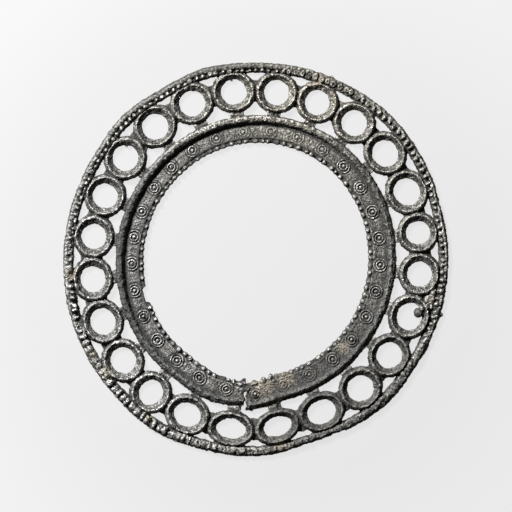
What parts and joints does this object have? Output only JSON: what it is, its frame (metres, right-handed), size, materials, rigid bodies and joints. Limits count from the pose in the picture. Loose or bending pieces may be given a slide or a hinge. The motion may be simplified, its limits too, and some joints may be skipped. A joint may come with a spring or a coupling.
{
  "type": "pilgrim badge openwork frame",
  "caption": "Round pierced badge frame in cast lead-tin: pelleted rim, ring of open ringlets, raised collar and a flat band of ring-dots round a large opening.",
  "frame": {"origin": "middle of the frame on its flat back, which lies on the surface", "axes": "+Z out of the decorated face, +Y towards the top of the picture, +X towards its right"},
  "size_m": [0.0772, 0.0788, 0.0021],
  "materials": {
    "lead_tin": "dull, dark grey corroded lead-tin alloy"
  },
  "bodies": {
    "root": {"openwork_frame": "lead_tin"}
  },
  "joints": []
}
